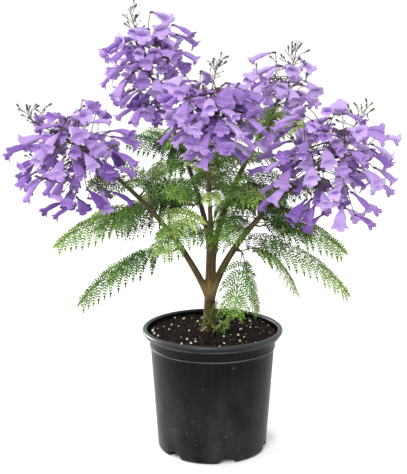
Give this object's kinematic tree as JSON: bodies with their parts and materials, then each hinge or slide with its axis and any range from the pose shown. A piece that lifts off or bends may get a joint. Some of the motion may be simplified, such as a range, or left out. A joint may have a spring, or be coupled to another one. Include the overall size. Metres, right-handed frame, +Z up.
{
  "type": "potted jacaranda seedling",
  "caption": "Young flowering jacaranda in a round black nursery pot, with forked boughs, ferny fronds and heads of lilac trumpet flowers.",
  "frame": {"origin": "centre of the pot's flat underside, on the surface that the pot stands on", "axes": "+Z up along the pot's axis, -Y towards the viewer of the picture, +X to the viewer's right"},
  "size_m": [0.6048, 0.3756, 0.7029],
  "materials": {
    "pot": "black moulded plastic, satin, with pale scuffs and dust",
    "soil": "dark bark potting mix with white perlite",
    "bark": "olive brown bark, finely ridged",
    "blossom": "lilac petals, soft, paler at the lobes",
    "leaf": "green leaflets, slightly waxy"
  },
  "bodies": {
    "root": {"pot": "pot", "soil": "soil", "trunk": "bark", "bough_left": "bark", "bough_right": "bark", "bough_back_right": "bark", "bough_back_left": "bark", "bough_centre": "bark", "panicle_left": "blossom", "panicle_right": "blossom", "panicle_back_left": "blossom", "panicle_back_right": "blossom", "panicle_centre": "blossom", "foliage_left_low": "leaf", "foliage_left_mid": "leaf", "foliage_left_high": "leaf", "foliage_right_low": "leaf", "foliage_right_front": "leaf", "foliage_right_mid": "leaf", "foliage_right_high": "leaf", "foliage_centre_low": "leaf", "foliage_centre_high": "leaf", "foliage_back_left_low": "leaf", "foliage_back_left_high": "leaf", "foliage_back_right_low": "leaf", "foliage_back_right_high": "leaf", "foliage_trunk_foot": "leaf"}
  },
  "joints": []
}
